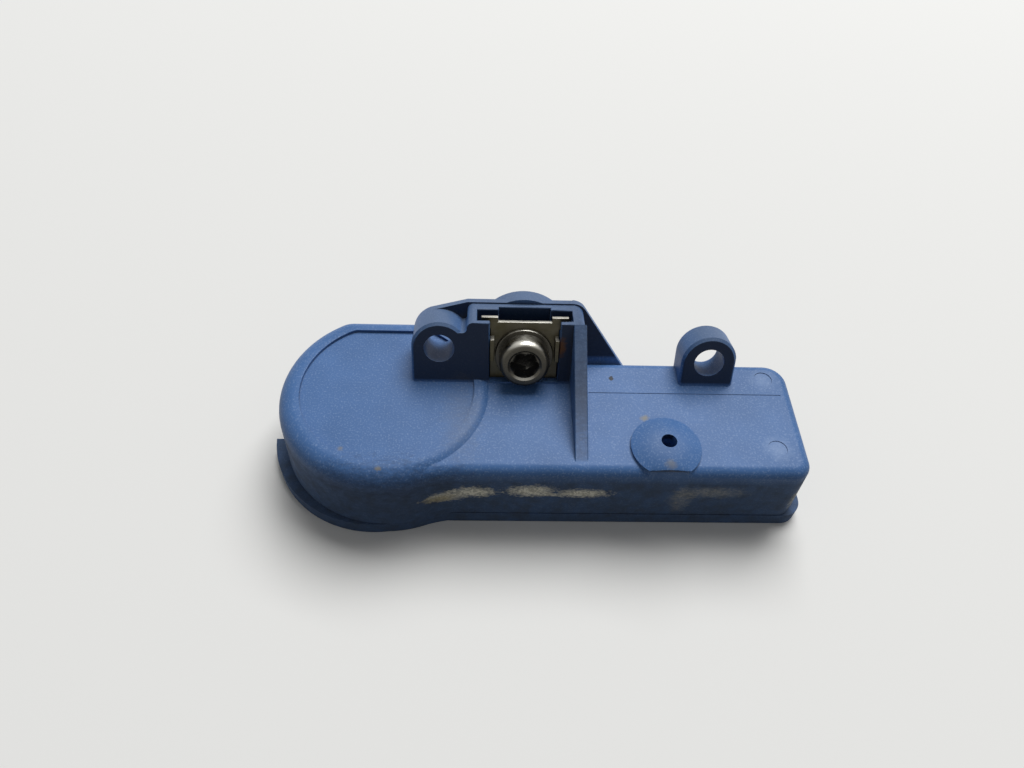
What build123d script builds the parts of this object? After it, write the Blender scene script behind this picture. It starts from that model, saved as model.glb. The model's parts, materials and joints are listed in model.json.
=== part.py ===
"""Tyre pressure sensor with a screw-on valve mount: moulded casing, clip, screw and what is sealed inside."""
import os
from math import copysign, cos, radians, sin, sqrt, tan

from build123d import *

# Casing in plan, measured from the drum's axis at the foot of the walls
drum_radius = 12.4
drum_back = 11.0
drum_back_corner = 3.0
box_end = 46.3
box_front = 10.85
box_back = 5.0
front_corner = 2.2
back_corner = 2.8
front_blend = 12.0
back_blend = 3.0
wall_draft = 2.0

# Casing heights
cover_rim = 2.0
flat_top = 10.15
drum_top = 10.55
drum_edge_round = 2.1
box_edge_round = 1.15
wall = 1.4
roof = 1.2

# Shallow disc sunk into the drum's top, inside a raised rim
disc_radius = 9.7
disc_back = 8.6
disc_back_corner = 1.2
disc_depth = 0.35

# Leaning tower: depth runs back along the valve axis, rise runs up the leaning front face
lean = radians(20.4)
lean_foot = 1.2
tower_left = 8.8
tower_right = 21.9
tower_depth = 4.6
tower_root = -2.0
post_rise = 7.57
plate_rise = 8.36
plate_depth = 3.6
plate_corner = 1.8
slope_top = 21.6
slope_foot = 28.7
edge_break = 0.3
post_round = 0.7
rib_top_round = 1.2

# Ears
ear_radius = 3.1
ear_hole_radius = 1.7
left_ear_x = 5.75
left_ear_rise = 4.35
right_ear_x = 36.1
right_ear_rise = 3.05
right_ear_depth = 3.3
valley_rise = 6.3
valley_round = 0.5

# Sloping rib beside the tower
rib_width = 1.4
rib_reach = 9.3

# Screw, washer and clip seat
screw_x = 15.2
screw_rise = 3.25
seat_left = 11.3
seat_right = 19.1
seat_floor_rise = 0.2
seat_depth = 1.5
notch_left = 9.9
notch_right = 20.5
notch_front = 0.55
notch_depth = 2.57
notch_floor_rise = 6.4
pocket_depth = 3.1
collar_radius = 5.5
collar_depth = 6.0
socket_radius = 2.9
washer_relief = 0.25

# Screw
thread_radius = 1.5
screw_length = 6.0
thread_chamfer = 0.35
neck_radius = 1.3
neck_length = 1.4
head_radius = 2.8
head_height = 2.2
head_bevel = 0.75
head_bevel_height = 1.2
recess_radius = 1.64
recess_valley_radius = 1.18
recess_lobe_radius = 0.42
recess_depth = 1.4

# Washer
washer_radius = 3.25
washer_thickness = 0.5
washer_hole_clearance = 0.1

# Clip
clip_thickness = 0.5
clip_side_clearance = 0.08
clip_hole_clearance = 0.08
clip_middle_rise = 7.25
clip_tab_rise = 7.8
clip_tab_length = 1.0
clip_tab_root = 0.85
wing_thickness = 0.45
wing_reach = 1.2
wing_low_rise = 2.9
wing_top_rise = 5.6

# Air port
port_x = 30.4
port_y = -7.4
port_boss_radius = 3.8
port_boss_edge = 0.35
port_boss_height = 1.2
port_boss_foot = 1.15
port_hole_radius = 0.85
port_hole_x = 30.6
port_hole_y = -7.2

# Ejector pin marks on the flat
mark_radius = 1.05
mark_depth = 0.08
mark_places = ((42.65, -7.3), (43.05, 2.3))

# Moulding line across the flat
line_y = 0.0
line_start = 22.6
line_end = 44.6
line_width = 0.15
line_depth = 0.06

# Base cover
cover_reveal = 0.12
floor_thickness = 1.2
cover_wall = 2.4
left_ledge_proud = 1.4
right_ledge_proud = 1.0
ledge_drop = 0.2
left_ledge_back = -1.1
right_ledge_back = -6.3
board_post_width = 1.6
board_posts = ((-7, -3), (-7, 3), (13, -6), (26, -6.6), (42, -6), (42, 0.6), (24, 1))

# Board and cell
board_thickness = 0.8
board_gap = 0.4
cell_radius = 8.0
cell_height = 3.2
tab_sheet = 0.2
tab_strip_width = 4.0
positive_leg_gap = 0.3

# Chip and port seal
chip_size = 7.0
chip_height = 2.2
chip_edge = 0.15
chip_y = -4.6
chip_hole_radius = 0.4
chip_hole_depth = 0.5
seal_radius = 1.3
seal_bore_radius = 0.5

# Wake-up coil
coil_x = 18.0
coil_y = -5.2
coil_length = 11.7
coil_width = 3.5
coil_height = 2.6
coil_flange = 1.3
coil_neck = 1.4
winding_thickness = 0.6

# Transmit antenna
antenna_width = 0.9
antenna_sheet = 0.5
antenna_left = 36.0
antenna_right = 42.4
antenna_front = -6.4
antenna_back = 0.8
antenna_rise = 4.2

# Small board parts
crystal_length = 3.2
crystal_width = 2.5
crystal_height = 0.8
crystal_place = (25.0, 0.2)
small_length = 1.0
small_width = 0.5
small_height = 0.5
capacitor_first = (13.6, 0.6)
resistor_first = (28.6, 0.6)
inductor_first = (37.2, -3.6)
small_pitch = 1.6

# Places that follow from the sizes above: the origin lies under the middle of the casing
left_reach = left_ledge_proud + sqrt(drum_radius**2 - left_ledge_back**2)
right_reach = right_ledge_proud + box_end
drum_x = (left_reach - right_reach) / 2
drum_y = (drum_radius - drum_back) / 2
draft_inset = (flat_top - cover_rim) * tan(radians(wall_draft))
cavity_inset = wall + draft_inset
board_inset = cavity_inset + board_gap
board_bottom = cover_rim
board_top = board_bottom + board_thickness
cell_bottom = board_top + tab_sheet
cell_top = cell_bottom + cell_height
chip_top = board_top + chip_height
ceiling = flat_top - roof
clip_front = seat_depth - clip_thickness
washer_front = clip_front - washer_thickness
head_front = washer_front - head_height
pick = 0.01


def casing_plane(height, across=0):
    """Level plane with its origin on the drum's axis, or moved across from it."""
    return Plane(origin=(drum_x + across, drum_y, height))


def side_plane(across):
    """Upright plane across the casing, its first axis running back and its second one up."""
    return Plane(origin=(drum_x + across, drum_y, 0), x_dir=(0, 1, 0), z_dir=(1, 0, 0))


def lean_plane(depth):
    """Plane of the tower's leaning face, moved back along the valve axis by depth."""
    foot = (drum_x, drum_y + lean_foot, flat_top)
    return Plane(origin=foot, x_dir=(1, 0, 0), z_dir=(0, -cos(lean), sin(lean))).offset(-depth)


def lean_point(depth, rise):
    """Place in a side plane of a point given by its depth and rise on the tower."""
    back = lean_foot + rise * sin(lean) + depth * cos(lean)
    up = flat_top + rise * cos(lean) - depth * sin(lean)
    return (back, up)


def flat_backed_round(radius, back, corner):
    """Round shape about the drum's axis, cut off flat at its back, with the two corners rounded."""
    Circle(radius)
    with Locations((0, back)):
        Rectangle(2 * radius, radius, align=(Align.CENTER, Align.MIN), mode=Mode.SUBTRACT)
    fillet(vertices().group_by(Axis.Y)[-1], corner)


def drum_outline(inset):
    """Round end of the casing with its flat back, drawn inside the wall's foot by inset."""
    corner = max(drum_back_corner - inset, drum_back_corner / 4)
    flat_backed_round(drum_radius - inset, drum_back - inset, corner)


def box_outline(inset):
    """Straight part of the casing with its two rounded end corners, drawn inside the wall's foot by inset."""
    with Locations((0, inset - box_front)):
        Rectangle(box_end - inset, box_front + box_back - 2 * inset, align=(Align.MIN, Align.MIN))
    fillet(vertices().group_by(Axis.X)[-1].sort_by(Axis.Y)[0], max(front_corner - inset, front_corner / 4))
    fillet(vertices().sort_by(Axis.X)[-2:].sort_by(Axis.Y)[-1], max(back_corner - inset, back_corner / 4))


def casing_outline(inset):
    """Whole casing in plan, with the hollow curves where the drum runs into the straight walls."""
    drum_outline(inset)
    box_outline(inset)
    for side_y, blend in ((inset - box_front, front_blend), (box_back - inset, back_blend)):
        meeting = vertices().filter_by_position(Axis.Y, side_y - pick, side_y + pick).sort_by(Axis.X)[0]
        fillet(meeting, blend + inset)


def inner_outline(inset):
    """Plain outline inside the casing's walls: the drum's round and the straight part's rectangle."""
    drum_outline(inset)
    with Locations((0, inset - box_front)):
        Rectangle(box_end - inset, box_front + box_back - 2 * inset, align=(Align.MIN, Align.MIN))


def blend_start(side_y, blend):
    """Place on the drum's outline where the hollow curve towards a straight wall begins."""
    reach = drum_radius + blend
    centre_y = side_y + copysign(blend, side_y)
    return Vector(sqrt(reach**2 - centre_y**2), centre_y) * (drum_radius / reach)


def small_parts(first, columns, rows):
    """Grid of like surface-mounted parts on the board, counted from its first corner."""
    with BuildSketch(casing_plane(board_top)) as footprints:
        with Locations(first):
            with GridLocations(small_pitch, small_pitch, columns, rows, align=(Align.MIN, Align.MIN)):
                Rectangle(small_length, small_width)
    extrude(footprints.sketch, amount=small_height)


def casing_slab(inset, bottom, top, taper=0, mode=Mode.ADD):
    """Slab of the casing's whole outline between two heights."""
    with BuildSketch(casing_plane(bottom)) as slab:
        casing_outline(inset)
    extrude(slab.sketch, amount=top - bottom, taper=taper, mode=mode)


# Drum: the round end of the housing, with the sunk disc in its top
with BuildPart() as drum:
    with BuildSketch(casing_plane(cover_rim)):
        drum_outline(0)
    extrude(amount=drum_top - cover_rim, taper=wall_draft)
    fillet(drum.faces().sort_by(Axis.Z)[-1].edges(), drum_edge_round)
    with BuildSketch(casing_plane(drum_top)):
        flat_backed_round(disc_radius, disc_back, disc_back_corner)
    extrude(amount=-disc_depth, mode=Mode.SUBTRACT)

# Ears: round lugs on the leaning face, their front edges broken
ears = []
for ear_x, ear_rise, ear_depth in (
    (left_ear_x, left_ear_rise, tower_depth),
    (right_ear_x, right_ear_rise, right_ear_depth),
):
    with BuildPart() as ear:
        with BuildSketch(lean_plane(0)):
            with Locations((ear_x, ear_rise)):
                Circle(ear_radius)
                Rectangle(2 * ear_radius, ear_rise - tower_root, align=(Align.CENTER, Align.MAX))
        extrude(amount=-ear_depth)
        front_face = ear.faces().sort_by(Axis((0, 0, 0), lean_plane(0).z_dir))[-1]
        chamfer(front_face.edges(), edge_break)
    ears.append(ear.part)

# Tower: the block between the left post and the rib, its left top edge rounded over
with BuildPart() as tower:
    with BuildSketch(side_plane(tower_left)):
        with BuildLine():
            Polyline(
                lean_point(0, tower_root),
                lean_point(0, post_rise),
                lean_point(tower_depth, plate_rise),
                lean_point(tower_depth, tower_root),
                close=True,
            )
        make_face()
    extrude(amount=tower_right - tower_left)
    fillet(tower.faces().sort_by(Axis.X)[0].edges().sort_by(Axis.Z)[-1], post_round)
    fillet(tower.faces().sort_by(Axis.X)[-1].edges().sort_by(Axis.Z)[-1], rib_top_round)

# Air port: a dome on a round foot, cut off flush with the front wall
with BuildPart() as air_port:
    with BuildSketch(casing_plane(flat_top - port_boss_foot)):
        with Locations((port_x, port_y)):
            Circle(port_boss_radius)
    extrude(amount=port_boss_foot + port_boss_height)
    dome_rise = port_boss_height - port_boss_edge
    dome_radius = (port_boss_radius**2 + dome_rise**2) / (2 * dome_rise)
    with Locations((drum_x + port_x, drum_y + port_y, flat_top + port_boss_height - dome_radius)):
        Sphere(dome_radius, rotation=(90, 0, 0), mode=Mode.INTERSECT)
    split(bisect_by=Plane((0, drum_y + draft_inset - box_front, 0), z_dir=(0, 1, 0)))

# Upper housing: box section and drum, then the leaning tower with its ears, rib and collar, and the air port
with BuildPart() as upper_housing:
    casing_slab(0, cover_rim, flat_top, taper=wall_draft)
    fillet(upper_housing.faces().sort_by(Axis.Z)[-1].edges(), box_edge_round)
    front_start = blend_start(-box_front, front_blend)
    across_drum = blend_start(box_back, back_blend) - front_start
    parting = Plane(casing_plane(0).from_local_coords(front_start), z_dir=across_drum.cross(Vector(0, 0, 1)))
    split(bisect_by=parting)
    add(drum.part)
    add(tower.part)
    add(ears)

    # Block that ties the left ear to the post, with a hollow curve up the post's side
    with BuildSketch(lean_plane(0)):
        with Locations((left_ear_x, tower_root)):
            Rectangle(seat_left - left_ear_x, valley_rise - tower_root, align=(Align.MIN, Align.MIN))
        with Locations((tower_left, tower_root)):
            side_rise = post_rise - post_round
            Rectangle(seat_left - tower_left, side_rise - tower_root, align=(Align.MIN, Align.MIN))
        valley = vertices().filter_by_position(Axis.Y, valley_rise - pick, valley_rise + pick)
        fillet(valley.sort_by(Axis.X)[-1], valley_round)
    extrude(amount=-tower_depth)

    # Rear plate: shoulder from the left ear, level top, and the slope down to the right
    with BuildSketch(lean_plane(plate_depth)):
        with Locations((left_ear_x, left_ear_rise)):
            Circle(ear_radius)
        with BuildLine():
            Polyline(
                (left_ear_x, tower_root),
                (tower_left, plate_rise),
                (slope_top, plate_rise),
                (slope_foot, tower_root),
                close=True,
            )
        make_hull()
        fillet(vertices().group_by(Axis.Y)[-1].sort_by(Axis.X)[-1], plate_corner)
    extrude(amount=plate_depth - tower_depth)

    # Sloping rib from the tower's top to the front edge
    with BuildSketch(side_plane(tower_right - rib_width)):
        with BuildLine():
            Polyline(
                lean_point(0, post_rise),
                (-rib_reach, flat_top),
                (-rib_reach, flat_top - roof / 2),
                lean_point(tower_depth / 2, 0),
                close=True,
            )
        make_face()
    extrude(amount=rib_width)

    # Valve collar on the tower's back
    with BuildSketch(lean_plane(plate_depth)):
        with Locations((screw_x, screw_rise)):
            Circle(collar_radius)
    extrude(amount=plate_depth - collar_depth)

    add(air_port.part)

    # Hollow for the cell and the board
    with BuildSketch(casing_plane(cover_rim)):
        inner_outline(cavity_inset)
    extrude(amount=ceiling - cover_rim, mode=Mode.SUBTRACT)
    with BuildSketch(casing_plane(ceiling)):
        with Locations((port_hole_x, port_hole_y)):
            Circle(port_hole_radius)
    extrude(amount=2 * roof + port_boss_height, mode=Mode.SUBTRACT)

    # Ejector pin marks
    with BuildSketch(casing_plane(flat_top)):
        with Locations(*mark_places):
            Circle(mark_radius)
    extrude(amount=-mark_depth, mode=Mode.SUBTRACT)

    # Moulding line
    with BuildSketch(casing_plane(flat_top)):
        with Locations((line_start, line_y)):
            Rectangle(line_end - line_start, line_width, align=(Align.MIN, Align.CENTER))
    extrude(amount=-line_depth, mode=Mode.SUBTRACT)

    # Clip seat open to the front, notches for the clip's tabs, pocket behind the clip and valve socket
    with BuildSketch(lean_plane(seat_depth)):
        with Locations((seat_left, seat_floor_rise)):
            Rectangle(seat_right - seat_left, 2 * plate_rise, align=(Align.MIN, Align.MIN))
    extrude(amount=2 * seat_depth, mode=Mode.SUBTRACT)
    with BuildSketch(lean_plane(notch_depth)):
        with Locations((notch_left, notch_floor_rise)):
            Rectangle(notch_right - notch_left, plate_rise, align=(Align.MIN, Align.MIN))
    extrude(amount=notch_depth - notch_front, mode=Mode.SUBTRACT)
    with BuildSketch(lean_plane(pocket_depth)):
        with Locations((screw_x, screw_rise)):
            Rectangle(2 * socket_radius, 2 * plate_rise, align=(Align.CENTER, Align.MIN))
    extrude(amount=pocket_depth - seat_depth, mode=Mode.SUBTRACT)
    with BuildSketch(lean_plane(collar_depth)):
        with Locations((screw_x, screw_rise)):
            Circle(socket_radius)
    extrude(amount=collar_depth - seat_depth, mode=Mode.SUBTRACT)
    with BuildSketch(lean_plane(seat_depth)):
        with Locations((screw_x, screw_rise)):
            Circle(washer_radius + washer_relief)
    extrude(amount=seat_depth - washer_front + washer_relief, mode=Mode.SUBTRACT)

    # Holes through the ears
    for ear_x, ear_rise in ((left_ear_x, left_ear_rise), (right_ear_x, right_ear_rise)):
        with BuildSketch(lean_plane(tower_depth)):
            with Locations((ear_x, ear_rise)):
                Circle(ear_hole_radius)
        extrude(amount=2 * tower_depth, mode=Mode.SUBTRACT)

# Base cover: a tray set back under the walls, with a proud ledge at each end and posts under the board
with BuildPart() as base_cover:
    casing_slab(cover_reveal, 0, cover_rim)
    for outline, across, ledge_back in (
        (drum_outline, -left_ledge_proud, left_ledge_back),
        (box_outline, right_ledge_proud, right_ledge_back),
    ):
        with BuildSketch(casing_plane(0, across)):
            outline(0)
            with Locations((0, ledge_back)):
                Rectangle(2 * box_end, 2 * drum_radius, align=(Align.CENTER, Align.MIN), mode=Mode.SUBTRACT)
        extrude(amount=cover_rim - ledge_drop)
    with BuildSketch(casing_plane(floor_thickness)) as tray:
        inner_outline(cover_wall)
    extrude(tray.sketch, amount=cover_rim - floor_thickness, mode=Mode.SUBTRACT)
    with BuildSketch(casing_plane(floor_thickness)):
        with Locations(*board_posts):
            Rectangle(board_post_width, board_post_width)
    extrude(amount=board_bottom - floor_thickness)

# Clip: plate with shoulder tabs, a lowered middle and two wings folded forward
with BuildPart() as retaining_clip:
    clip_left = seat_left + clip_side_clearance
    clip_right = seat_right - clip_side_clearance
    with BuildSketch(lean_plane(seat_depth)):
        with Locations((clip_left, seat_floor_rise)):
            middle_height = clip_middle_rise - seat_floor_rise
            Rectangle(clip_right - clip_left, middle_height, align=(Align.MIN, Align.MIN))
        for edge_x, tab_align in ((clip_left, Align.MAX), (clip_right, Align.MIN)):
            with Locations((edge_x, notch_floor_rise)):
                Rectangle(clip_tab_length, clip_tab_rise - notch_floor_rise, align=(tab_align, Align.MIN))
        for edge_x, tab_align in ((clip_left, Align.MIN), (clip_right, Align.MAX)):
            with Locations((edge_x, notch_floor_rise)):
                Rectangle(clip_tab_root, clip_tab_rise - notch_floor_rise, align=(tab_align, Align.MIN))
        with Locations((screw_x, screw_rise)):
            Circle(thread_radius + clip_hole_clearance, mode=Mode.SUBTRACT)
    extrude(amount=clip_thickness)
    with BuildSketch(lean_plane(clip_front)):
        for edge_x, wing_align in ((clip_left, Align.MIN), (clip_right, Align.MAX)):
            with Locations((edge_x, wing_low_rise)):
                Rectangle(wing_thickness, wing_top_rise - wing_low_rise, align=(wing_align, Align.MIN))
    extrude(amount=wing_reach)

# Washer under the screw's head
with BuildPart() as screw_washer:
    with BuildSketch(lean_plane(clip_front)):
        with Locations((screw_x, screw_rise)):
            Circle(washer_radius)
            Circle(thread_radius + washer_hole_clearance, mode=Mode.SUBTRACT)
    extrude(amount=washer_thickness)

# Screw: captive neck, threaded shank and a bevelled pan head with a six-lobe recess
with BuildPart() as valve_screw:
    screw_axis_plane = lean_plane(washer_front)
    with BuildSketch(screw_axis_plane):
        with Locations((screw_x, screw_rise)):
            Circle(neck_radius)
    extrude(amount=-neck_length)
    with BuildSketch(screw_axis_plane.offset(-neck_length)):
        with Locations((screw_x, screw_rise)):
            Circle(thread_radius)
    extrude(amount=neck_length - screw_length)
    chamfer(valve_screw.edges().sort_by(Axis.Y)[-1], thread_chamfer)
    with BuildSketch(screw_axis_plane):
        with Locations((screw_x, screw_rise)):
            Circle(head_radius)
    extrude(amount=head_height)
    head_face = valve_screw.faces().sort_by(Axis.Y)[0]
    chamfer(head_face.edges(), head_bevel, head_bevel_height, reference=head_face)
    with BuildSketch(lean_plane(head_front)):
        with Locations((screw_x, screw_rise)):
            Circle(recess_valley_radius)
            with PolarLocations(recess_radius - recess_lobe_radius, 6):
                Circle(recess_lobe_radius)
    extrude(amount=-recess_depth, mode=Mode.SUBTRACT)

# Circuit board on the cover's posts
with BuildPart() as circuit_board:
    with BuildSketch(casing_plane(board_bottom)):
        inner_outline(board_inset)
    extrude(amount=board_thickness)

# Sealed coin cell
with BuildPart() as coin_cell:
    with BuildSketch(casing_plane(cell_bottom)):
        Circle(cell_radius)
    extrude(amount=cell_height)

# Strip under the cell
with BuildPart() as cell_negative_tab:
    with BuildSketch(casing_plane(board_top)):
        Rectangle(2 * cell_radius - 2 * tab_strip_width, tab_strip_width)
    extrude(amount=tab_sheet)

# Strip over the cell with a leg down to the board
with BuildPart() as cell_positive_tab:
    leg_x = cell_radius + positive_leg_gap
    with BuildSketch(casing_plane(cell_top)):
        Rectangle(leg_x + tab_sheet, tab_strip_width, align=(Align.MIN, Align.CENTER))
    extrude(amount=tab_sheet)
    with BuildSketch(casing_plane(board_top)):
        with Locations((leg_x, 0)):
            Rectangle(tab_sheet, tab_strip_width, align=(Align.MIN, Align.CENTER))
    extrude(amount=cell_top - board_top)

# Pressure sensor chip, its lid's hole under the air port
with BuildPart() as pressure_sensor_chip:
    with BuildSketch(casing_plane(board_top)):
        with Locations((port_x, chip_y)):
            Rectangle(chip_size, chip_size)
    extrude(amount=chip_height)
    chamfer(pressure_sensor_chip.faces().sort_by(Axis.Z)[-1].edges(), chip_edge)
    with BuildSketch(casing_plane(chip_top)):
        with Locations((port_hole_x, port_hole_y)):
            Circle(chip_hole_radius)
    extrude(amount=-chip_hole_depth, mode=Mode.SUBTRACT)

# Elastomer tube from the chip's lid to the casing's roof
with BuildPart() as port_seal:
    with BuildSketch(casing_plane(chip_top)):
        with Locations((port_hole_x, port_hole_y)):
            Circle(seal_radius)
            Circle(seal_bore_radius, mode=Mode.SUBTRACT)
    extrude(amount=ceiling - chip_top)

# Ferrite core of the wake-up coil: a bar with a flange at each end
with BuildPart() as wake_up_coil_core:
    with BuildSketch(casing_plane(board_top)):
        with Locations((coil_x - coil_length / 2, coil_y), (coil_x + coil_length / 2 - coil_flange, coil_y)):
            Rectangle(coil_flange, coil_width, align=(Align.MIN, Align.CENTER))
    extrude(amount=coil_height)
    with BuildSketch(casing_plane(board_top + (coil_height - coil_neck) / 2)):
        with Locations((coil_x, coil_y)):
            Rectangle(coil_length - coil_flange, coil_neck)
    extrude(amount=coil_neck)

# Copper winding round the bar
with BuildPart() as wake_up_coil_winding:
    winding_width = coil_neck + 2 * winding_thickness
    with BuildSketch(side_plane(coil_x - coil_length / 2 + coil_flange)):
        with Locations((coil_y, board_top + coil_height / 2)):
            RectangleRounded(winding_width, winding_width, winding_thickness)
            Rectangle(coil_neck, coil_neck, mode=Mode.SUBTRACT)
    extrude(amount=coil_length - 2 * coil_flange)

# Strip antenna, bent up from the board into a loop
with BuildPart() as transmit_antenna:
    low = board_top
    high = board_top + antenna_rise
    with BuildLine() as antenna_path:
        Polyline(
            (drum_x + antenna_left, drum_y + antenna_front, low),
            (drum_x + antenna_left, drum_y + antenna_front, high),
            (drum_x + antenna_right, drum_y + antenna_front, high),
            (drum_x + antenna_right, drum_y + antenna_back, high),
            (drum_x + antenna_left, drum_y + antenna_back, high),
            (drum_x + antenna_left, drum_y + antenna_back, low),
        )
    with BuildSketch(casing_plane(board_top)):
        with Locations((antenna_left, antenna_front)):
            Rectangle(antenna_sheet, antenna_width)
    sweep(transition=Transition.RIGHT)

# Crystal can
with BuildPart() as crystal:
    with BuildSketch(casing_plane(board_top)):
        with Locations(crystal_place):
            Rectangle(crystal_length, crystal_width)
    extrude(amount=crystal_height)

# Rows of small soldered parts
with BuildPart() as chip_capacitors:
    small_parts(capacitor_first, 4, 1)
with BuildPart() as chip_resistors:
    small_parts(resistor_first, 3, 1)
with BuildPart() as chip_inductors:
    small_parts(inductor_first, 2, 2)

pieces = {
    "upper_housing": upper_housing,
    "base_cover": base_cover,
    "retaining_clip": retaining_clip,
    "screw_washer": screw_washer,
    "valve_screw": valve_screw,
    "circuit_board": circuit_board,
    "coin_cell": coin_cell,
    "cell_negative_tab": cell_negative_tab,
    "cell_positive_tab": cell_positive_tab,
    "pressure_sensor_chip": pressure_sensor_chip,
    "port_seal": port_seal,
    "wake_up_coil_core": wake_up_coil_core,
    "wake_up_coil_winding": wake_up_coil_winding,
    "transmit_antenna": transmit_antenna,
    "crystal": crystal,
    "chip_capacitors": chip_capacitors,
    "chip_resistors": chip_resistors,
    "chip_inductors": chip_inductors,
}
os.makedirs("parts", exist_ok=True)
for name, piece in pieces.items():
    piece.part.label = name
    export_step(piece.part, f"parts/{name}.step")
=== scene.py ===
"""Looks of a used tyre pressure sensor, built round its solids: casing, clip, washer, screw and stage."""
import json
import math

import bpy
from bpy.props import FloatProperty, FloatVectorProperty, PointerProperty
from mathutils import Matrix, Vector


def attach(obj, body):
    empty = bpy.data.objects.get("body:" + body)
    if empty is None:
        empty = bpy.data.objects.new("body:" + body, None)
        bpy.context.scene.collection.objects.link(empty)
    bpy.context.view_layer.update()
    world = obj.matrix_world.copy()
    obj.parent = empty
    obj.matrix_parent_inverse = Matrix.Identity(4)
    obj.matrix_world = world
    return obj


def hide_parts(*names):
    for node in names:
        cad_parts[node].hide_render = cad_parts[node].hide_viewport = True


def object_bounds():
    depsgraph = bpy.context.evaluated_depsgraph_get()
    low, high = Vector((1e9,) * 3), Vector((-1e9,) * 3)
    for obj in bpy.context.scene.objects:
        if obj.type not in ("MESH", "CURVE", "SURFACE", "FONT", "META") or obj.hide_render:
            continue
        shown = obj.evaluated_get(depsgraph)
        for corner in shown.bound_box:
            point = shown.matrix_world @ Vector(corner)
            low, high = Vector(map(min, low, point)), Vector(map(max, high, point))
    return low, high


bl_info = {
    "name": "Tyre pressure sensor looks",
    "version": (1, 0, 0),
    "blender": (4, 5, 0),
    "location": "View3D > Sidebar > Sensor",
    "description": "Eased edges, threaded screw, worn finishes and a plain stage for a tyre pressure sensor",
    "category": "Object",
}

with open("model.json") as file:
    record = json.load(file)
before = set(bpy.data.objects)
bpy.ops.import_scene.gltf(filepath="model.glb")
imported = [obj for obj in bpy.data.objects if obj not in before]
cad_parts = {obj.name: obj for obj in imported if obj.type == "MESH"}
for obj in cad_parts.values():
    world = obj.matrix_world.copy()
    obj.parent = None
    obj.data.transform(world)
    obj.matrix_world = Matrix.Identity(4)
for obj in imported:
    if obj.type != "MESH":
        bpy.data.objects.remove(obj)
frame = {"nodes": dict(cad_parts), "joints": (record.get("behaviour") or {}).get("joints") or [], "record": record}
cad_low, cad_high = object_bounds()

# A millimetre in metres, the photo's width in pixels and the camera's sensor in millimetres
MM = 0.001
PHOTO_WIDTH = 1024
SENSOR_WIDTH = 36.0

# The valve screw's joint gives its axis, and the mounts give its thread
turn = frame["joints"][0]
mounts = {mount["name"]: mount for mount in frame["record"]["mounts"]}
thread = mounts["valve_thread"]["dims"]


def linear(hex_colour):
    """Linear colour with full alpha of an sRGB hex value."""
    parts = [int(hex_colour[i:i + 2], 16) / 255 for i in (1, 3, 5)]
    return [p / 12.92 if p <= 0.04045 else ((p + 0.055) / 1.055) ** 2.4 for p in parts] + [1.0]


def colour_property(name, description, hex_colour):
    """Colour setting of a finish, given as sRGB hex."""
    return FloatVectorProperty(
        name=name, description=description, subtype="COLOR", size=4, min=0, max=1, default=linear(hex_colour)
    )


def length_property(name, description, millimetres):
    """Length setting, given in millimetres."""
    return FloatProperty(
        name=name, description=description, unit="LENGTH", subtype="DISTANCE", precision=5,
        default=millimetres * MM,
    )


class SensorFinish(bpy.types.PropertyGroup):
    """Colours of the finishes that show."""

    nylon: colour_property("Nylon", "Blue of the moulded casing", "#486C9F")
    nylon_deep: colour_property("Nylon, deep", "Darker cast of the casing's blue", "#3D6090")
    # Painted glint: pale specks on the grain; the same colour also lays the pale ejector marks
    pale_mark_and_painted_glint: colour_property("Fleck", "Pale glints of the etched grain", "#8FA5C8")
    film: colour_property("Road film", "Grey film on the upright walls and along the foot", "#3C434C")
    # Painted shade: the tower's fronts, its rib and the drum's front darkened where they lie in shade
    painted_shade: colour_property("Soiled blue", "Dark film on the tower, its rib and the drum's front", "#111C30")
    grime: colour_property("Grime", "Brake dust settled in corners", "#5D5A4E")
    # Also painted shade: the screw's recess and the undersides of screw and washer; on the casing a real black dot
    soot_and_dark_shade: colour_property("Soot", "Black dirt in the screw's recess and under its head", "#0C0B0A")
    dust: colour_property("Dust", "Dry dust on the tower's crown", "#525961")
    chalk: colour_property("Chalk", "Pale scrape marks on the front wall", "#F1EEDF")
    ochre: colour_property("Ochre", "Dried mud spots", "#8E8155")
    rust: colour_property("Rust", "Stain beside the clip", "#6B4420")
    steel: colour_property("Screw steel", "Plated steel of screw and washer", "#5A574F")
    # Painted highlight on the faces of the clip and of the screw's head that look up
    painted_highlight: colour_property("Bright steel", "Cut edges of the clip and the screw's rubbed top", "#DAD8CF")
    stainless: colour_property("Clip steel", "Tarnished stainless sheet of the clip", "#474334")


class SensorSizes(bpy.types.PropertyGroup):
    """Small sizes that the looks add to the solids."""

    casing_edge: length_property("Casing edge", "Eased edge of the housing", 0.12)
    cover_edge: length_property("Cover edge", "Eased edge of the base cover", 0.05)
    sheet_edge: length_property("Sheet edge", "Eased edge of clip and washer", 0.06)
    thread_pitch: length_property("Thread pitch", "Coarse pitch of the screw's thread", 0.5)
    screw_length: length_property("Screw length", "Screw from the head's seat to its tip", 6.0)
    tip_ease: length_property("Tip ease", "Chamfer at the screw's tip", 0.25)
    neck_length: length_property("Neck length", "Plain neck under the head", 1.4)
    neck_radius: length_property("Neck radius", "Radius of the plain neck", 1.3)
    head_seat: length_property("Head seat", "Head's underside along the axis from the joint", -0.5)
    head_radius: length_property("Head radius", "Outside of the pan head", 2.8)
    head_height: length_property("Head height", "Pan head from its seat to its top", 2.2)
    crown_width: length_property("Crown width", "Rounding over the head's rim, along the radius", 0.5)
    crown_height: length_property("Crown height", "Rounding over the head's rim, along the axis", 0.85)
    recess_rim: length_property("Recess rim", "Countersink round the recess", 1.88)
    recess_rim_depth: length_property("Rim depth", "Depth of the countersink", 0.2)
    recess_radius: length_property("Recess radius", "Six-lobe recess over its lobes", 1.64)
    recess_valley: length_property("Recess valley", "Six-lobe recess between its lobes", 1.18)
    recess_depth: length_property("Recess depth", "Depth of the recess from the head's top", 1.3)


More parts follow.
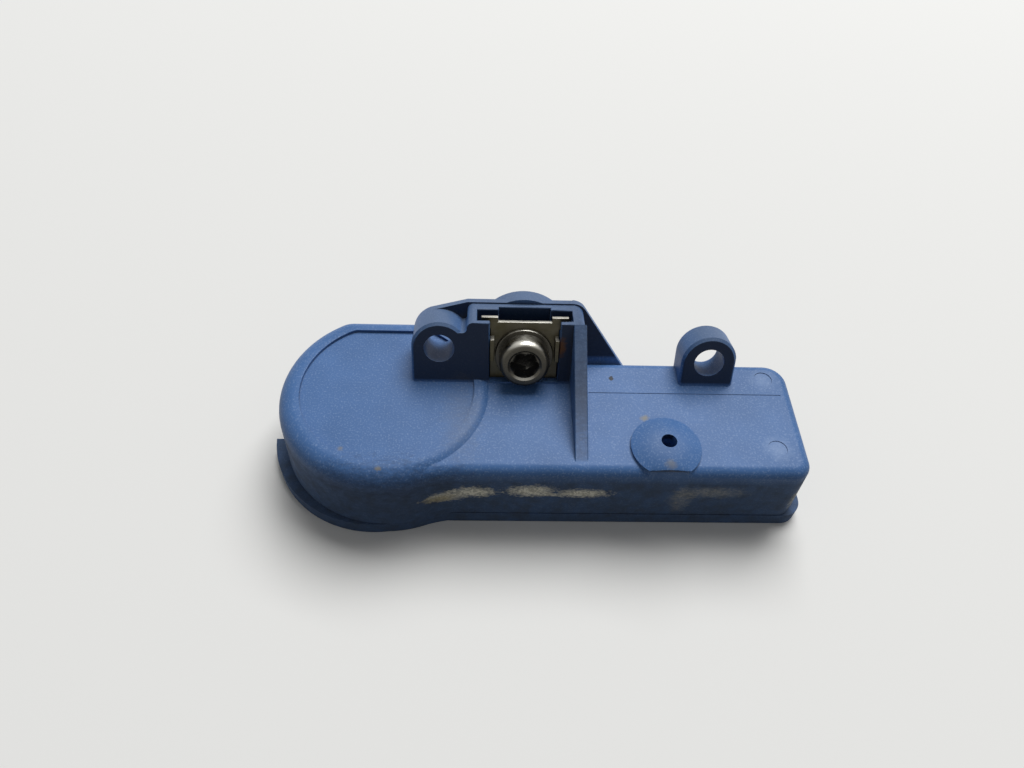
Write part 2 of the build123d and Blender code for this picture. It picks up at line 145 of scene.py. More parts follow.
class SensorStage(bpy.types.PropertyGroup):
    """Camera, light and floor."""

    camera_place: FloatVectorProperty(
        name="Camera", description="Place of the camera", subtype="XYZ", unit="LENGTH", size=3,
        default=(-6.033 * MM, -52.485 * MM, 78.658 * MM),
    )
    camera_tilt: FloatProperty(
        name="Tilt", description="Angle of the view below the horizon", subtype="ANGLE", default=0.89986
    )
    camera_yaw: FloatProperty(
        name="Yaw", description="Turn of the view about the upright", subtype="ANGLE", default=-0.05899
    )
    camera_roll: FloatProperty(
        name="Roll", description="Turn of the view about its own line", subtype="ANGLE", default=0.0611
    )
    focal_pixels: FloatProperty(
        name="Focal length", description="Focal length in pixels of the photo's frame", default=769.98
    )
    softbox_power: FloatProperty(
        name="Softbox", description="Power of the large lamp above the part", unit="POWER", default=16.0
    )
    softbox_size: length_property("Softbox size", "Side of the large lamp", 800)
    softbox_distance: length_property("Softbox distance", "Lamp's distance from the part", 1200)
    ambient: FloatProperty(name="Ambient", description="Level of the room's light", default=0.24)
    floor: colour_property("Floor", "Pale table", "#E4E4E2")
    floor_bounce: colour_property("Floor bounce", "Table as the part's sides receive it", "#868684")
    backdrop: colour_property("Backdrop", "Pale room", "#E9E9E9")


def add_node(tree, kind, inputs=None, **settings):
    """Node with its settings, its inputs set to values or linked to other nodes' outputs.

    An input goes by its name, or by its number where a node has several of one name.
    """
    node = tree.nodes.new(kind)
    for name, value in settings.items():
        setattr(node, name, value)
    for socket, value in (inputs or {}).items():
        if isinstance(value, bpy.types.NodeSocket):
            tree.links.new(value, node.inputs[socket])
        else:
            node.inputs[socket].default_value = value
    return node


def new_material(name):
    """Node material with its tree and shader, and the surface's own place in millimetres and normal."""
    material = bpy.data.materials.new(name)
    material.use_nodes = True
    tree = material.node_tree
    shader = tree.nodes["Principled BSDF"]
    coordinates = add_node(tree, "ShaderNodeTexCoord")
    place = add_node(
        tree, "ShaderNodeVectorMath", {0: coordinates.outputs["Object"], 1: (1 / MM,) * 3},
        operation="MULTIPLY",
    )
    return material, tree, shader, place.outputs[0], coordinates.outputs["Normal"]


# How far a noise breaks a spot's rim, in half sizes of the spot, and what both add up to on the rim
RAGGEDNESS = 3.2
RIM = 1 + RAGGEDNESS / 2


def blot(tree, place, centre, half, ragged, edge):
    """Mask of a ragged spot: an ellipsoid in millimetres whose rim is broken by a noise output."""
    away = add_node(tree, "ShaderNodeVectorMath", {0: place, 1: centre}, operation="SUBTRACT")
    share = add_node(
        tree, "ShaderNodeVectorMath", {0: away.outputs[0], 1: [1 / h for h in half]}, operation="MULTIPLY"
    )
    length = add_node(tree, "ShaderNodeVectorMath", {0: share.outputs[0]}, operation="LENGTH")
    rough = add_node(
        tree, "ShaderNodeMath", {0: ragged, 1: RAGGEDNESS, 2: length.outputs["Value"]},
        operation="MULTIPLY_ADD",
    )
    mask = add_node(tree, "ShaderNodeMapRange", {
        "Value": rough.outputs[0], "From Min": RIM - edge, "From Max": RIM + edge,
        "To Min": 1.0, "To Max": 0.0,
    })
    return mask.outputs[0]


def stain(tree, colour, mask, strength, tint):
    """Colour with a tint laid over it, at a strength, where a mask says."""
    share = add_node(tree, "ShaderNodeMath", {0: mask, 1: strength}, operation="MULTIPLY")
    return add_node(
        tree, "ShaderNodeMix", {0: share.outputs[0], 6: colour, 7: tint}, data_type="RGBA"
    ).outputs[2]


# The middle part of a noise, where nearly all its values lie
NOISE_SPREAD = {"From Min": 0.3, "From Max": 0.7}

# Where films, painted shade and dust on the casing set in and are full: heights, and the rear plate's depth, in
# millimetres
WALL_FILM = {"From Min": 9.4, "From Max": 8.0}
FOOT_FILM = {"From Min": 4.0, "From Max": 3.0}
RIB_FOOT = {"From Min": 10.17, "From Max": 10.3}
TOWER_FOOT = {"From Min": 10.25, "From Max": 10.6}
TOWER_CROWN = {"From Min": 11.5, "From Max": 13.5}
REAR_PLATE = {"From Min": 8.3, "From Max": 8.15}

# How a face stands, as a part of its normal
FACES_FRONT = {"From Min": -0.6, "From Max": -0.85}
FACES_UP = {"From Min": 0.5, "From Max": 0.9}
STANDS_UPRIGHT = {"From Min": 0.5, "From Max": 0.1}

# Painted shade on the rib: middle and half sizes in millimetres
RIB_SHADE = ((4.46, -3.2, 13.4), (2.6, 8.5, 5.5))

# Marks on the casing: tint, strength, softness of the rim, then middle and half sizes in millimetres
MARKS = (
    ("grime", 0.30, 0.9, (-8.3, -3.4, 10.6), (1.5, 4.2, 0.7)),
    # The next two marks are painted shade on the drum's front rounding and wall
    ("painted_shade", 0.60, 0.9, (-16.8, -10.6, 9.0), (5.8, 1.6, 1.3)),
    ("painted_shade", 0.45, 0.9, (-16.5, -10.6, 5.0), (7.5, 2.6, 3.4)),
    ("chalk", 0.80, 0.45, (-9.9, -10.2, 5.5), (1.9, 1.6, 0.75)),
    ("chalk", 1.00, 0.45, (-6.9, -10.0, 6.2), (1.9, 1.5, 0.80)),
    ("chalk", 1.00, 0.45, (-0.8, -10.0, 6.5), (2.1, 1.5, 0.85)),
    ("chalk", 0.80, 0.45, (1.4, -10.0, 5.8), (1.8, 1.5, 0.28)),
    ("chalk", 1.00, 0.45, (4.9, -10.0, 6.1), (2.3, 1.5, 0.65)),
    ("ochre", 0.60, 0.60, (-10.5, -10.2, 5.2), (1.4, 1.6, 0.5)),
    ("chalk", 0.24, 0.6, (19.0, -10.0, 6.5), (2.8, 1.5, 0.8)),
    ("chalk", 0.20, 0.6, (15.8, -10.0, 5.2), (1.0, 1.5, 1.7)),
    ("chalk", 0.50, 0.6, (28.9, -9.2, 4.7), (0.7, 1.0, 1.5)),
    ("pale_mark_and_painted_glint", 0.40, 0.9, (25.88, -6.6, 10.1), (1.0, 1.0, 0.4)),
    ("pale_mark_and_painted_glint", 0.30, 0.9, (26.28, 3.0, 10.1), (1.0, 1.0, 0.4)),
    ("ochre", 0.60, 0.5, (11.84, -2.76, 10.15), (0.4, 0.35, 0.4)),
    ("ochre", 0.50, 0.5, (-21.06, -7.3, 10.4), (0.3, 0.25, 0.6)),
    ("ochre", 0.50, 0.5, (-16.84, -9.86, 10.1), (0.3, 0.25, 0.7)),
    ("ochre", 0.35, 0.5, (13.7, -9.2, 10.9), (0.5, 0.5, 0.5)),
    ("rust", 0.80, 0.5, (2.4, 3.6, 14.6), (0.5, 0.7, 1.1)),
    ("soot_and_dark_shade", 0.95, 0.2, (8.57, 2.86, 10.15), (0.27, 0.27, 0.4)),
)


def moulded_nylon(finish):
    """Glass-filled nylon, injection moulded: satin blue, finely etched, with dusty corners and scrapes, painted
    shade on the tower, rib and drum front, and painted glints on the grain.
    """
    material, tree, shader, place, normal = new_material("moulded_nylon")
    shader.inputs["IOR"].default_value = 1.53
    shader.inputs["Specular IOR Level"].default_value = 0.17
    facing = add_node(tree, "ShaderNodeSeparateXYZ", {"Vector": normal})
    height = add_node(tree, "ShaderNodeSeparateXYZ", {"Vector": place})

    # Cloudy tone 7 mm across under a painted glint: pale specks of 0.2 mm on the etched grain
    cloud = add_node(tree, "ShaderNodeTexNoise", {"Vector": place, "Scale": 1 / 7, "Detail": 3.0})
    spread = add_node(tree, "ShaderNodeMapRange", {"Value": cloud.outputs[0], **NOISE_SPREAD})
    colour = stain(tree, finish.nylon, spread.outputs[0], 1.0, finish.nylon_deep)
    grain = add_node(tree, "ShaderNodeTexNoise", {"Vector": place, "Scale": 1 / 0.2, "Detail": 2.0})
    glint = add_node(
        tree, "ShaderNodeMapRange", {"Value": grain.outputs[0], "From Min": 0.52, "From Max": 0.75}
    )
    colour = stain(tree, colour, glint.outputs[0], 0.35, finish.pale_mark_and_painted_glint)

    # Grey road film on the upright walls below the flat and along the foot, in patches of 1.2 mm
    patch = add_node(tree, "ShaderNodeTexNoise", {"Vector": place, "Scale": 1 / 1.2, "Detail": 5.0})
    upright = add_node(tree, "ShaderNodeMapRange", {"Value": facing.outputs["Z"], **STANDS_UPRIGHT})
    low = add_node(tree, "ShaderNodeMapRange", {"Value": height.outputs["Z"], **WALL_FILM})
    foot = add_node(tree, "ShaderNodeMapRange", {"Value": height.outputs["Z"], **FOOT_FILM})
    reached = add_node(
        tree, "ShaderNodeMath", {0: upright.outputs[0], 1: foot.outputs[0]}, operation="MAXIMUM"
    )
    wall = add_node(tree, "ShaderNodeMath", {0: reached.outputs[0], 1: low.outputs[0]}, operation="MULTIPLY")
    blotchy = add_node(
        tree, "ShaderNodeMapRange", {"Value": patch.outputs[0], **NOISE_SPREAD, "To Min": 0.6}
    )
    filmed = add_node(
        tree, "ShaderNodeMath", {0: wall.outputs[0], 1: blotchy.outputs[0]}, operation="MULTIPLY"
    )
    colour = stain(tree, colour, filmed.outputs[0], 0.8, finish.film)

    # Tower: fronts before the rear plate darkened by painted shade, crown grey with settled dust
    front = add_node(tree, "ShaderNodeMapRange", {"Value": facing.outputs["Y"], **FACES_FRONT})
    aloft = add_node(tree, "ShaderNodeMapRange", {"Value": height.outputs["Z"], **TOWER_FOOT})
    front_shade = add_node(tree, "ShaderNodeMath", {0: front.outputs[0], 1: aloft.outputs[0]}, operation="MULTIPLY")
    ahead = add_node(tree, "ShaderNodeMapRange", {"Value": height.outputs["Y"], **REAR_PLATE, "To Max": 0.9})
    colour = stain(tree, colour, front_shade.outputs[0], ahead.outputs[0], finish.painted_shade)
    level = add_node(tree, "ShaderNodeMapRange", {"Value": facing.outputs["Z"], **FACES_UP})
    crown = add_node(tree, "ShaderNodeMapRange", {"Value": height.outputs["Z"], **TOWER_CROWN})
    settled = add_node(
        tree, "ShaderNodeMath", {0: level.outputs[0], 1: crown.outputs[0]}, operation="MULTIPLY"
    )
    colour = stain(tree, colour, settled.outputs[0], 0.5, finish.dust)

    # Brake dust in corners within 0.9 mm
    corner = add_node(
        tree, "ShaderNodeAmbientOcclusion", {"Distance": 0.9 * MM}, samples=8, only_local=True
    )
    shut = add_node(
        tree, "ShaderNodeMapRange", {"Value": corner.outputs["AO"], "From Min": 0.75, "From Max": 0.3}
    )
    dusty = add_node(tree, "ShaderNodeMath", {0: shut.outputs[0], 1: patch.outputs[0]}, operation="MULTIPLY")
    colour = stain(tree, colour, dusty.outputs[0], 0.7, finish.grime)

    # Painted shade over the rib, its rim ragged at 0.4 mm and drawn out lengthways, none on the flat below
    dashed = add_node(tree, "ShaderNodeVectorMath", {0: place, 1: (0.5, 1.0, 1.0)}, operation="MULTIPLY")
    ragged = add_node(tree, "ShaderNodeTexNoise", {
        "Vector": dashed.outputs[0], "Scale": 1 / 0.4, "Detail": 8.0, "Roughness": 0.75,
    })
    rib = blot(tree, place, *RIB_SHADE, ragged.outputs[0], 0.9)
    risen = add_node(tree, "ShaderNodeMapRange", {"Value": height.outputs["Z"], **RIB_FOOT})
    raised = add_node(tree, "ShaderNodeMath", {0: rib, 1: risen.outputs[0]}, operation="MULTIPLY")
    colour = stain(tree, colour, raised.outputs[0], 0.6, finish.painted_shade)

    # Scrapes, spots, settled dust, pale ejector marks and painted shade with the same ragged rims, the chalk in
    # crumbs of 0.3 mm
    crumbs = add_node(tree, "ShaderNodeTexNoise", {
        "Vector": place, "Scale": 1 / 0.3, "Detail": 5.0, "Roughness": 0.7,
    })
    gaps = add_node(
        tree, "ShaderNodeMapRange", {"Value": crumbs.outputs[0], "From Min": 0.56, "From Max": 0.44}
    )
    tints = {tint: getattr(finish, tint) for tint, *_ in MARKS}
    tints["chalk"] = stain(tree, finish.chalk, gaps.outputs[0], 0.5, finish.grime)
    for tint, strength, edge, centre, half in MARKS:
        mask = blot(tree, place, centre, half, ragged.outputs[0], edge)
        colour = stain(tree, colour, mask, strength, tints[tint])
    tree.links.new(colour, shader.inputs["Base Color"])

    # Satin gloss, duller where dust lies, over the etched grain
    dull = add_node(tree, "ShaderNodeMath", {0: dusty.outputs[0], 1: filmed.outputs[0]}, operation="MAXIMUM")
    rough = add_node(
        tree, "ShaderNodeMapRange", {"Value": dull.outputs[0], "To Min": 0.42, "To Max": 0.75}
    )
    tree.links.new(rough.outputs[0], shader.inputs["Roughness"])
    bump = add_node(
        tree, "ShaderNodeBump", {"Strength": 0.35, "Distance": 0.02 * MM, "Height": grain.outputs[0]}
    )
    tree.links.new(bump.outputs[0], shader.inputs["Normal"])
    return material


def rolled_stainless(finish):
    """Stainless strip, rolled and stamped: fine lines under a warm tarnish, with a painted highlight on faces that
    look up.
    """
    material, tree, shader, place, normal = new_material("rolled_stainless")
    shader.inputs["Metallic"].default_value = 1.0

    # Tarnish in clouds of 1.6 mm, with a painted highlight on the faces that look up
    tarnish = add_node(tree, "ShaderNodeTexNoise", {"Vector": place, "Scale": 1 / 1.6, "Detail": 4.0})
    worn = add_node(
        tree, "ShaderNodeMapRange", {"Value": tarnish.outputs[0], "From Min": 0.35, "From Max": 0.7}
    )
    colour = stain(tree, finish.stainless, worn.outputs[0], 0.6, finish.steel)
    facing = add_node(tree, "ShaderNodeSeparateXYZ", {"Vector": normal})
    lit_from_above = add_node(
        tree, "ShaderNodeMapRange", {"Value": facing.outputs["Z"], "From Min": 0.6, "From Max": 0.85}
    )
    colour = stain(tree, colour, lit_from_above.outputs[0], 0.55, finish.painted_highlight)
    tree.links.new(colour, shader.inputs["Base Color"])

    # Rolling lines 0.12 mm wide along the strip
    lines = add_node(tree, "ShaderNodeVectorMath", {0: place, 1: (0.12, 1.0, 1.0)}, operation="MULTIPLY")
    brushed = add_node(
        tree, "ShaderNodeTexNoise", {"Vector": lines.outputs[0], "Scale": 1 / 0.12, "Detail": 3.0}
    )
    rough = add_node(tree, "ShaderNodeMapRange", {
        "Value": brushed.outputs[0], **NOISE_SPREAD, "To Min": 0.3, "To Max": 0.5,
    })
    tree.links.new(rough.outputs[0], shader.inputs["Roughness"])
    bump = add_node(
        tree, "ShaderNodeBump", {"Strength": 0.3, "Distance": 0.01 * MM, "Height": brushed.outputs[0]}
    )
    tree.links.new(bump.outputs[0], shader.inputs["Normal"])
    return material


def plated_steel(finish):
    """Plated steel, headed and rolled: a grey satin with a painted highlight above, and painted shade below and in
    the recess.
    """
    material, tree, shader, place, normal = new_material("plated_steel")
    shader.inputs["Specular IOR Level"].default_value = 0.1

    # Painted highlight on what faces up, and painted shade on what faces down or lies in corners within 1.8 mm
    facing = add_node(tree, "ShaderNodeSeparateXYZ", {"Vector": normal})
    highlighted = add_node(
        tree, "ShaderNodeMapRange", {"Value": facing.outputs["Z"], "From Min": 0.7, "From Max": 0.95}
    )
    under = add_node(tree, "ShaderNodeMapRange", {
        "Value": facing.outputs["Z"], "From Min": 0.65, "From Max": -0.2, "To Max": 0.85,
    })
    corner = add_node(
        tree, "ShaderNodeAmbientOcclusion", {"Distance": 1.8 * MM}, samples=8, only_local=True
    )
    shut = add_node(
        tree, "ShaderNodeMapRange", {"Value": corner.outputs["AO"], "From Min": 0.92, "From Max": 0.66}
    )
    recess_and_underside_shade = add_node(tree, "ShaderNodeMath", {0: shut.outputs[0], 1: under.outputs[0]}, operation="MAXIMUM")
    colour = stain(tree, finish.steel, highlighted.outputs[0], 0.65, finish.painted_highlight)
    colour = stain(tree, colour, recess_and_underside_shade.outputs[0], 0.95, finish.soot_and_dark_shade)
    tree.links.new(colour, shader.inputs["Base Color"])
    unshaded = add_node(tree, "ShaderNodeMath", {0: 1.0, 1: recess_and_underside_shade.outputs[0]}, operation="SUBTRACT")
    tree.links.new(unshaded.outputs[0], shader.inputs["Metallic"])

    # Gloss smudged in patches of 0.9 mm over scratches of 0.1 mm, and dull in the corners that the painted shade
    # darkens
    smudge = add_node(tree, "ShaderNodeTexNoise", {"Vector": place, "Scale": 1 / 0.9, "Detail": 5.0})
    worn = add_node(tree, "ShaderNodeMapRange", {
        "Value": smudge.outputs[0], **NOISE_SPREAD, "To Min": 0.2, "To Max": 0.4,
    })
    rough = add_node(tree, "ShaderNodeMath", {0: worn.outputs[0], 1: shut.outputs[0]}, operation="MAXIMUM")
    tree.links.new(rough.outputs[0], shader.inputs["Roughness"])
    scratch = add_node(
        tree, "ShaderNodeTexNoise", {"Vector": place, "Scale": 1 / 0.1, "Detail": 2.0, "Distortion": 1.5}
    )
    bump = add_node(
        tree, "ShaderNodeBump", {"Strength": 0.2, "Distance": 0.01 * MM, "Height": scratch.outputs[0]}
    )
    tree.links.new(bump.outputs[0], shader.inputs["Normal"])
    return material


# Sealed pieces: finish, colour, darker cast, metallic, roughness and the size of its pattern in millimetres
INNER_FINISHES = {
    "circuit_board": ("solder_mask", "#1E5A34", "#174A2A", 0.0, 0.35, 0.6),
    "coin_cell": ("drawn_steel_can", "#C9C9C4", "#AEAEA8", 1.0, 0.3, 0.4),
    "cell_negative_tab": ("nickel_strip", "#BDB8A8", "#A39E8E", 1.0, 0.35, 0.3),
    "cell_positive_tab": ("nickel_strip", "#BDB8A8", "#A39E8E", 1.0, 0.35, 0.3),
    "pressure_sensor_chip": ("moulding_resin", "#1B1B1C", "#101011", 0.0, 0.55, 0.2),
    "port_seal": ("silicone_rubber", "#2A2A2A", "#1C1C1C", 0.0, 0.7, 0.3),
    "wake_up_coil_core": ("sintered_ferrite", "#2C2B2B", "#1F1E1E", 0.0, 0.6, 0.2),
    "wake_up_coil_winding": ("enamelled_copper", "#B5652F", "#8A4520", 1.0, 0.3, 0.15),
    "transmit_antenna": ("tinned_strip", "#C4C4BE", "#A5A59E", 1.0, 0.3, 0.3),
    "crystal": ("plated_lid", "#CBC9C0", "#B0AEA4", 1.0, 0.25, 0.3),
    "chip_capacitors": ("barium_ceramic", "#8C6B47", "#735535", 0.0, 0.5, 0.2),
    "chip_resistors": ("glazed_ceramic", "#161616", "#222222", 0.0, 0.3, 0.2),
    "chip_inductors": ("white_ceramic", "#C6C5BE", "#AFAEA6", 0.0, 0.45, 0.2),
}

# How far the roughness of a sealed piece swings to either side
ROUGHNESS_SWING = 0.08


def sealed_finish(name, colour, cast, metallic, roughness, pattern):
    """Plain works finish of a sealed piece, mottled at the size of its own grain."""
    material, tree, shader, place, _ = new_material(name)
    shader.inputs["Metallic"].default_value = metallic
    mottle = add_node(tree, "ShaderNodeTexNoise", {"Vector": place, "Scale": 1 / pattern, "Detail": 3.0})
    mottled = stain(tree, linear(colour), mottle.outputs[0], 1.0, linear(cast))
    tree.links.new(mottled, shader.inputs["Base Color"])
    rough = add_node(tree, "ShaderNodeMapRange", {
        "Value": mottle.outputs[0],
        "To Min": roughness - ROUGHNESS_SWING, "To Max": roughness + ROUGHNESS_SWING,
    })
    tree.links.new(rough.outputs[0], shader.inputs["Roughness"])
    return material


def make_active(piece):
    """Only this piece selected, and active."""
    bpy.ops.object.select_all(action="DESELECT")
    piece.select_set(True)
    bpy.context.view_layer.objects.active = piece


def apply_modifiers(piece):
    """Every modifier of a piece made part of its mesh."""
    make_active(piece)
    for modifier in list(piece.modifiers):
        bpy.ops.object.modifier_apply(modifier=modifier.name)


def select_points(piece, wanted):
    """In edit mode, only the points whose place passes a test are selected."""
    bpy.ops.mesh.select_all(action="DESELECT")
    bpy.ops.object.mode_set(mode="OBJECT")
    for point in piece.data.vertices:
        point.select = wanted(point.co)
    bpy.ops.object.mode_set(mode="EDIT")


# Where the drum's larger rounding runs into the box's smaller one: two points in plan, how far the seam
# reaches in from them, its half width, its lowest height and the spacing of its points, in millimetres
SEAM_FRONT = Vector((-12.425, -10.912))
SEAM_BACK = Vector((-6.178, 7.142))
SEAM_REACH = 1.5
SEAM_HALF_WIDTH = 0.03
SEAM_LOW = 8.0
SEAM_STEP = 0.24


def on_seam(place):
    """Whether a point lies on the rounded edge, in the upright plane where the drum runs into the box."""
    along = (SEAM_BACK - SEAM_FRONT).normalized()
    away = place.xy / MM - SEAM_FRONT
    outside = not SEAM_REACH < along.dot(away) < (SEAM_BACK - SEAM_FRONT).length - SEAM_REACH
    sideways = abs(along.x * away.y - along.y * away.x)
    return outside and place.z > SEAM_LOW * MM and sideways < SEAM_HALF_WIDTH


def seam_edges(piece):
    """Edges of a piece that lie on the seam."""
    points = piece.data.vertices
    return [edge for edge in piece.data.edges if all(on_seam(points[i].co) for i in edge.vertices)]


# A width below this counts as none
NO_WIDTH = 0.001 * MM


def room_inward(outline, start, inward):
    """Smallest width of a face straight inward from one edge of its outline."""
    foot = outline[start]
    along = outline[(start + 1) % len(outline)] - foot
    widths = []
    for share in (0.25, 0.5, 0.75):
        base = foot + share * along
        flat = [((point - base).dot(along), (point - base).dot(inward)) for point in outline]
        for (left, low), (right, high) in zip(flat, flat[1:] + flat[:1]):
            if left * right < 0:
                widths.append(low + (high - low) * left / (left - right))
    return min((width for width in widths if width > NO_WIDTH), default=0)


def keep_roomy_edges(piece, width):
    """Selected edges in a hollow corner or beside a face narrower than a width are let go."""
    mesh = piece.data
    chosen = {edge.key: edge for edge in mesh.edges if edge.select}
    sides = {key: [] for key in chosen}
    for face in mesh.polygons:
        outline = [mesh.vertices[index].co for index in face.vertices]
        steps = [two - one for one, two in zip(outline, outline[1:] + outline[:1])]
        slim = face.area < width * max(step.length for step in steps)
        for start, key in enumerate(face.edge_keys):
            if key in chosen:
                inward = face.normal.cross(steps[start]).normalized()
                sides[key].append((face.normal, inward))
                if slim or room_inward(outline, start, inward) < width:
                    chosen[key].select = False
    for key, ((normal, _), (_, inward)) in sides.items():
        if normal.dot(inward) > 0:
            chosen[key].select = False


# A solid's mesh: points this near are one, faces this flat are one, edges sharper than this are eased
MERGE_DISTANCE = 0.002 * MM
FLAT_ANGLE = math.radians(0.4)
SHARP_ANGLE = math.radians(40)

# Room beside an edge that is eased, and how far its points may leave the solid, in widths of the easing
EASING_ROOM = 2.2
EASING_STRAY = 0.35

# Shading: smooth below this angle, flat on faces this square to the screw's axis, and even over large faces
SMOOTH_ANGLE = math.radians(30)
SQUARE_TO_AXIS = 0.999
LARGE_FACE_WEIGHT = 60


def merged_copy(node, name):
    """Copy of a solid in whole faces, left in edit mode, with the seam's crowded points drawn together."""
    piece = bpy.data.objects.new(name, frame["nodes"][node].data.copy())
    bpy.context.scene.collection.objects.link(piece)
    make_active(piece)
    bpy.ops.mesh.customdata_custom_splitnormals_clear()
    bpy.ops.object.mode_set(mode="EDIT")
    bpy.ops.mesh.select_mode(type="EDGE")
    bpy.ops.mesh.select_all(action="SELECT")
    bpy.ops.mesh.remove_doubles(threshold=MERGE_DISTANCE)
    bpy.ops.mesh.dissolve_limited(angle_limit=FLAT_ANGLE)
    bpy.ops.mesh.select_mode(type="VERT")
    select_points(piece, on_seam)
    bpy.ops.mesh.remove_doubles(threshold=SEAM_STEP * MM)
    return piece


def ease_edges(piece, width):
    """From edit mode, sharp edges with room beside them are rounded, apart from the seam's."""
    bpy.ops.mesh.select_mode(type="EDGE")
    bpy.ops.mesh.select_all(action="DESELECT")
    bpy.ops.mesh.edges_select_sharp(sharpness=SHARP_ANGLE)
    bpy.ops.object.mode_set(mode="OBJECT")
    keep_roomy_edges(piece, EASING_ROOM * width)
    for seam in seam_edges(piece):
        seam.select = False
    weights = piece.data.attributes.new("bevel_weight_edge", "FLOAT", "EDGE")
    weights.data.foreach_set("value", [float(edge.select) for edge in piece.data.edges])
    easing = piece.modifiers.new("eased", "BEVEL")
    easing.limit_method = "WEIGHT"
    easing.width = width
    easing.segments = 2
    easing.use_clamp_overlap = False
    apply_modifiers(piece)


def return_strays(piece, solid, reach):
    """Points that an eased edge threw further than a reach from the solid are laid back on it."""
    strays = piece.vertex_groups.new(name="strays")
    for point in piece.data.vertices:
        found, nearest, _, _ = solid.closest_point_on_mesh(point.co)
        if found and (nearest - point.co).length > reach:
            strays.add([point.index], 1.0, "REPLACE")
    wrap = piece.modifiers.new("strays", "SHRINKWRAP")
    wrap.target = solid
    wrap.vertex_group = strays.name
    apply_modifiers(piece)
    piece.vertex_groups.clear()


def smooth_faces(piece):
    """Round faces shaded smooth, the seam too, and those square to the screw's axis left flat."""
    bpy.ops.object.shade_smooth_by_angle(angle=SMOOTH_ANGLE)
    for seam in seam_edges(piece):
        seam.use_edge_sharp = False
    for face in piece.data.polygons:
        face.use_smooth = abs(face.normal.dot(Vector(turn["axis"]))) < SQUARE_TO_AXIS
    normals = piece.modifiers.new("weighted", "WEIGHTED_NORMAL")
    normals.keep_sharp = True
    normals.weight = LARGE_FACE_WEIGHT
    apply_modifiers(piece)


def eased_copy(node, name, width):
    """Copy of a solid with its sharp edges eased by a small round, which stands for it."""
    piece = merged_copy(node, name)
    ease_edges(piece, width)
    return_strays(piece, frame["nodes"][node], EASING_STRAY * width)
    smooth_faces(piece)
    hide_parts(node)
    return piece


# Points round the screw, steps over its crown and lobes of its recess
RING_POINTS = 72
CROWN_STEPS = 10
LOBES = 6
LOBE_POINTS = RING_POINTS // LOBES

# Points this near a ring's height are on it, and the recess's ring is a little inside its countersink
ON_RING = 0.01 * MM
INSIDE_RIM = 0.999

# The recess's coned floor: its radius as a share of the recess's, its fall as a share of the depth
FLOOR_SHARE = 0.4
FLOOR_FALL = 0.2

# The thread's depth and half width in pitches, its steps in a turn and the distance that merges its points
THREAD_DEPTH = 0.54
THREAD_HALF_WIDTH = 0.48
THREAD_STEPS = 36
THREAD_MERGE = 0.0005 * MM

# The screw's faces are smooth below this angle
SCREW_SMOOTH_ANGLE = math.radians(35)


def thread_core(sizes):
    """Radius at the foot of a coarse metric thread."""
    return thread["r_mm"] * MM - THREAD_DEPTH * sizes.thread_pitch


def screw_rings(sizes):
    """Radius and height of the rings round the screw, from tip over head to the recess's countersink."""
    core = thread_core(sizes)
    tip = sizes.head_seat - sizes.screw_length
    neck_end = sizes.head_seat - sizes.neck_length
    top = sizes.head_seat + sizes.head_height
    rings = [
        (core - sizes.tip_ease, tip),
        (core, tip + sizes.tip_ease),
        (core, neck_end),
        (sizes.neck_radius, neck_end),
        (sizes.neck_radius, sizes.head_seat),
        (sizes.head_radius, sizes.head_seat),
    ]
    for step in range(CROWN_STEPS + 1):
        angle = math.radians(90 * step / CROWN_STEPS)
        rings.append((
            sizes.head_radius - sizes.crown_width * (1 - math.cos(angle)),
            top - sizes.crown_height * (1 - math.sin(angle)),
        ))
    rings.append((sizes.recess_rim, top))
    rings.append((sizes.recess_radius, top - sizes.recess_rim_depth))
    return rings


def lift_face(scale, rise):
    """The selected end face drawn on along the axis, and scaled about it."""
    bpy.ops.mesh.extrude_region_move(TRANSFORM_OT_translate={"value": (0, 0, rise)})
    bpy.ops.transform.resize(value=(scale, scale, 1), center_override=(0, 0, 0))


def turned_blank(rings):
    """Round solid drawn up ring by ring along the axis, left in edit mode with its last face selected."""
    radius, height = rings[0]
    bpy.ops.object.select_all(action="DESELECT")
    bpy.ops.mesh.primitive_circle_add(vertices=RING_POINTS, radius=radius, fill_type="NGON")
    piece = bpy.context.object
    bpy.ops.object.mode_set(mode="EDIT")
    bpy.ops.mesh.select_mode(type="VERT")
    bpy.ops.mesh.select_all(action="SELECT")
    bpy.ops.transform.translate(value=(0, 0, height))
    for next_radius, next_height in rings[1:]:
        lift_face(next_radius / radius, next_height - height)
        radius, height = next_radius, next_height
    return piece


def press_recess(piece, sizes, height):
    """The recess's ring pressed into lobes, then sunk to its depth with a coned floor."""
    middle = (sizes.recess_radius + sizes.recess_valley) / 2
    swing = (sizes.recess_radius - sizes.recess_valley) / 2
    lift_face(middle / sizes.recess_radius, 0)
    ring_size = (middle + sizes.recess_radius) / 2
    inside = INSIDE_RIM * sizes.recess_radius
    lowest = height - ON_RING
    for step in range(LOBE_POINTS):
        scale = 1 + swing / middle * math.cos(2 * math.pi * step / LOBE_POINTS)
        select_points(
            piece,
            lambda place: place.xy.length < ring_size and place.z > lowest
            and round(math.atan2(place.y, place.x) * RING_POINTS / (2 * math.pi)) % LOBE_POINTS == step,
        )
        bpy.ops.transform.resize(value=(scale, scale, 1), center_override=(0, 0, 0))
    select_points(piece, lambda place: place.xy.length < inside and place.z > lowest)
    lift_face(1.0, sizes.recess_rim_depth - sizes.recess_depth)
    lift_face(FLOOR_SHARE, -FLOOR_FALL * sizes.recess_depth)


